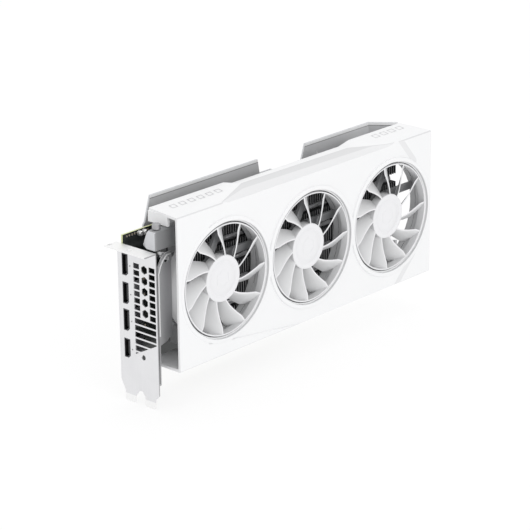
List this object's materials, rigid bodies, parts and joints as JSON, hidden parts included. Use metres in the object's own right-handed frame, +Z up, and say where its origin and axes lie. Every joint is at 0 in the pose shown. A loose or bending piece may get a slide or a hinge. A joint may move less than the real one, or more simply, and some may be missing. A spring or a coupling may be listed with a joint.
{
  "type": "graphics card",
  "caption": "Long expansion card with a slot bracket, a finned cooler under a white shroud, round fans in its face and a raised backplate.",
  "frame": {"origin": "middle of the long contact row's bottom edge, halfway through the board's thickness", "axes": "+X along the card away from the bracket, +Y out of the backplate (the fans face -Y), +Z up from the slot"},
  "size_m": [0.3055, 0.0516, 0.1465],
  "materials": {
    "bracket_steel": "bright nickel-plated steel, fine rolling grain",
    "board": "black solder mask with a pale green glass-fibre edge",
    "socket_black": "black moulded plastic",
    "socket_shell": "plated steel, dark inside",
    "chip_package": "dark moulded chip package",
    "silicon": "polished silicon",
    "choke": "pressed ferrite",
    "capacitor_can": "bright aluminium can",
    "pipe_nickel": "nickel-plated copper",
    "fin_black": "black-coated aluminium",
    "arm_alloy": "cast alloy with a satin grey coat",
    "shroud_plastic": "satin white moulded plastic",
    "fan_plastic": "satin white moulded plastic",
    "frame_plastic": "light grey moulded plastic",
    "cover_paint": "grey painted sheet metal",
    "screw_steel": "plated steel"
  },
  "bodies": {
    "card": {"arm_screw": "screw_steel", "backplate": "cover_paint", "capacitor_1": "capacitor_can", "capacitor_2": "capacitor_can", "capacitor_3": "capacitor_can", "capacitor_4": "capacitor_can", "chip_retainer": "arm_alloy", "cold_plate": "pipe_nickel", "displayport_1": "socket_shell", "displayport_1_tongue": "socket_black", "displayport_2": "socket_shell", "displayport_2_tongue": "socket_black", "displayport_3": "socket_shell", "displayport_3_tongue": "socket_black", "fan_1_motor": "frame_plastic", "fan_2_motor": "frame_plastic", "fan_3_motor": "frame_plastic", "fin_stack": "fin_black", "gpu_die": "silicon", "gpu_package": "chip_package", "hdmi_port": "socket_shell", "hdmi_port_tongue": "socket_black", "heat_pipe_1": "pipe_nickel", "heat_pipe_2": "pipe_nickel", "heat_pipe_3": "pipe_nickel", "heat_pipe_4": "pipe_nickel", "io_bracket": "bracket_steel", "memory_chip_1": "chip_package", "memory_chip_2": "chip_package", "memory_chip_3": "chip_package", "memory_chip_4": "chip_package", "memory_chip_5": "chip_package", "memory_chip_6": "chip_package", "memory_chip_7": "chip_package", "memory_chip_8": "chip_package", "pcb": "board", "power_choke_1": "choke", "power_choke_2": "choke", "power_choke_3": "choke", "power_choke_4": "choke", "power_choke_5": "choke", "power_choke_6": "choke", "power_socket_1": "socket_black", "power_socket_2": "socket_black", "retainer_screw_1": "screw_steel", "retainer_screw_2": "screw_steel", "retainer_screw_3": "screw_steel", "retainer_screw_4": "screw_steel", "shroud": "shroud_plastic", "support_arm": "arm_alloy"},
    "fan_1": {"fan_1_rotor": "fan_plastic"},
    "fan_2": {"fan_2_rotor": "fan_plastic"},
    "fan_3": {"fan_3_rotor": "fan_plastic"}
  },
  "joints": [
    {"name": "fan_1_spin", "type": "hinge", "parent": "card", "child": "fan_1", "pos_m": [-0.03338, -0.04181, 0.0739], "axis": [0, -1, 0], "continuous": true},
    {"name": "fan_2_spin", "type": "hinge", "parent": "card", "child": "fan_2", "pos_m": [0.05942, -0.04181, 0.0739], "axis": [0, -1, 0], "continuous": true},
    {"name": "fan_3_spin", "type": "hinge", "parent": "card", "child": "fan_3", "pos_m": [0.15222, -0.04181, 0.0739], "axis": [0, -1, 0], "continuous": true}
  ]
}
